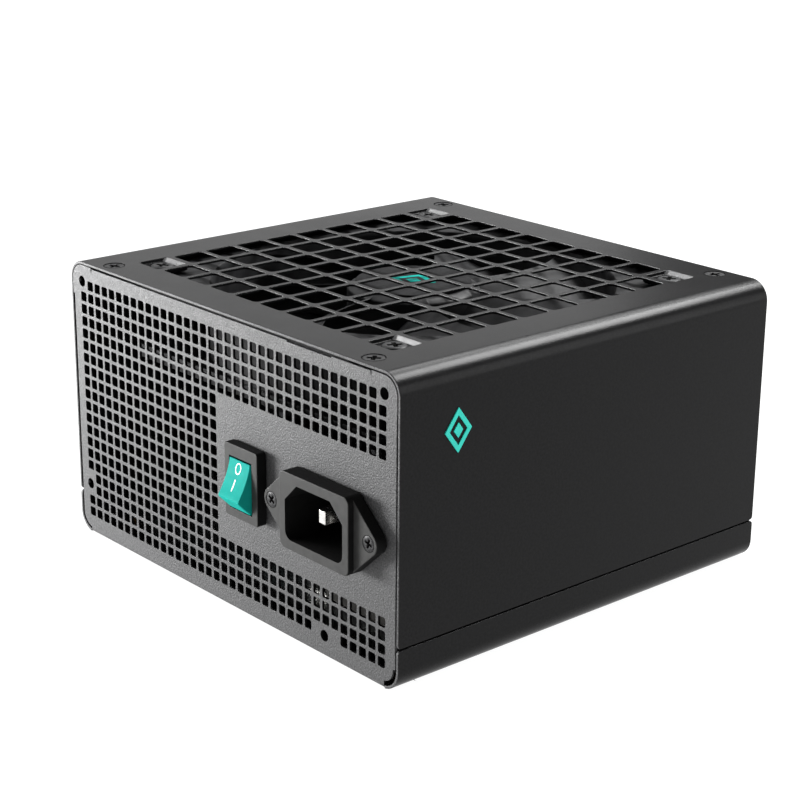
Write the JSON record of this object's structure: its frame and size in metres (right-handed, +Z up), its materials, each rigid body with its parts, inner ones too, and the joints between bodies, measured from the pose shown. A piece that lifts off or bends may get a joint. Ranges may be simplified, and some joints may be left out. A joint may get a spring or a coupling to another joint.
{
  "type": "computer power supply unit",
  "caption": "Box-shaped computer power supply in folded sheet steel, with a round fan under a square-cell grille, a mains inlet and a rocker switch on its perforated end.",
  "frame": {"origin": "centre of the bottom face", "axes": "+Z up through the fan grille, -Y out of the mains panel, X across the width"},
  "size_m": [0.15, 0.1495, 0.086],
  "materials": {
    "cover_paint": "fine textured powder coat, near black",
    "panel_paint": "fine textured powder coat, dark grey",
    "screw_steel": "black zinc",
    "black_plastic": "satin moulded",
    "grey_plastic": "satin moulded, dark grey",
    "rocker_teal": "satin moulded, teal",
    "plated_metal": "bright nickel plate",
    "brass": "machined or stamped brass",
    "black_anodised": "extruded and black anodised",
    "board_black": "black solder mask over glass laminate",
    "insulating_film": "black insulating film",
    "copper_wire": "enamelled copper winding",
    "dark_tape": "dark polyester tape",
    "core_tape": "ferrite core and winding under dark polyester tape",
    "sleeve_black": "shrink sleeve or moulded package",
    "magnet_grey": "bonded ferrite",
    "label_black": "film label"
  },
  "bodies": {
    "housing": {"top_cover": "cover_paint", "base_tray": "panel_paint", "rear_panel": "panel_paint", "front_panel": "panel_paint", "cable_grommet": "black_plastic", "cover_screw_1": "screw_steel", "cover_screw_2": "screw_steel", "cover_screw_3": "screw_steel", "cover_screw_4": "screw_steel", "fan_screw_1": "screw_steel", "fan_screw_2": "screw_steel", "fan_screw_3": "screw_steel", "fan_screw_4": "screw_steel", "fan_frame": "black_plastic", "fan_bearing": "brass", "fan_stator": "copper_wire", "fan_driver_board": "board_black", "inlet_shell": "grey_plastic", "inlet_pin_earth": "plated_metal", "inlet_pin_line": "plated_metal", "inlet_pin_neutral": "plated_metal", "inlet_screw_1": "screw_steel", "inlet_screw_2": "screw_steel", "switch_body": "grey_plastic", "switch_terminal_1": "brass", "switch_terminal_2": "brass", "main_board": "board_black", "board_insulator": "insulating_film", "board_standoff_1": "brass", "board_standoff_2": "brass", "board_standoff_3": "brass", "board_standoff_4": "brass", "board_screw_1": "screw_steel", "board_screw_2": "screw_steel", "board_screw_3": "screw_steel", "board_screw_4": "screw_steel", "x_capacitor": "dark_tape", "common_mode_choke": "copper_wire", "fuse": "plated_metal", "pfc_choke": "copper_wire", "bulk_capacitor": "sleeve_black", "primary_heatsink": "black_anodised", "bridge_rectifier": "sleeve_black", "switching_transistor": "sleeve_black", "main_transformer": "core_tape", "standby_transformer": "core_tape", "control_board": "board_black", "secondary_heatsink": "black_anodised", "output_rectifier": "sleeve_black", "output_choke": "copper_wire", "output_capacitor_1": "sleeve_black", "output_capacitor_2": "sleeve_black", "output_capacitor_3": "sleeve_black", "output_capacitor_4": "sleeve_black"},
    "rotor": {"fan_rotor": "black_plastic", "fan_magnet_ring": "magnet_grey", "fan_shaft": "plated_metal", "fan_hub_label": "label_black"},
    "rocker": {"switch_rocker": "rocker_teal"}
  },
  "joints": [
    {"name": "fan_spin", "type": "hinge", "parent": "housing", "child": "rotor", "pos_m": [0, 0, 0.07], "axis": [0, 0, 1], "continuous": true},
    {"name": "rocker_tilt", "type": "hinge", "parent": "housing", "child": "rocker", "pos_m": [0.0131, -0.0694, 0.0402], "axis": [1, 0, 0], "range_deg": [0, 28]}
  ]
}
